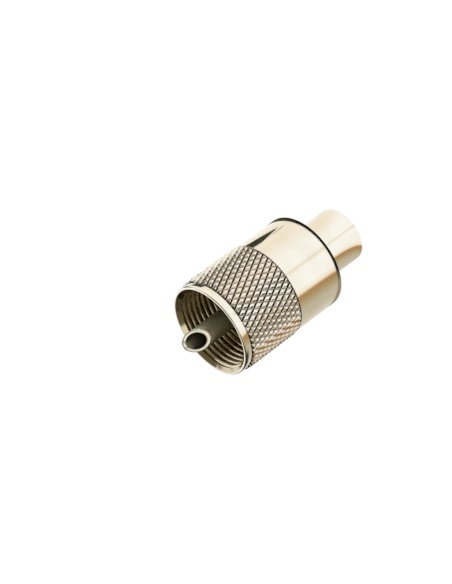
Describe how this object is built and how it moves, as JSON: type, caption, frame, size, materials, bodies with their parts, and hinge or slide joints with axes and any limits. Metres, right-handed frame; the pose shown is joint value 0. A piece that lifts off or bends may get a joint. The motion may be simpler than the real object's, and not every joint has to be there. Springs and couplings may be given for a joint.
{
  "type": "threaded coaxial antenna plug",
  "caption": "Threaded coaxial antenna plug: a hollow centre pin and insulator in a castellated body, with a knurled coupling ring that turns and slides.",
  "frame": {"origin": "centre of the flat end of the tail, which the plug stands on", "axes": "+Z along the plug's axis from the cable end towards the pin, -Y towards the low side of the pin's slanted tip"},
  "size_m": [0.0184, 0.0184, 0.0383],
  "materials": {
    "nickel_brass": "polished",
    "pin_nickel": "polished",
    "phenolic": "satin",
    "spring_steel": "satin"
  },
  "bodies": {
    "plug": {"plug_body": "nickel_brass", "insulator": "phenolic", "centre_pin": "pin_nickel"},
    "clip": {"retaining_clip": "spring_steel"},
    "ring": {"coupling_ring": "nickel_brass"}
  },
  "joints": [
    {"name": "ring_slide", "type": "slide", "parent": "plug", "child": "clip", "axis": [0, 0, 1], "range_m": [0, 0.0025]},
    {"name": "ring_turn", "type": "hinge", "parent": "clip", "child": "ring", "pos_m": [0, 0, 0.0173], "axis": [0, 0, 1], "continuous": true}
  ]
}
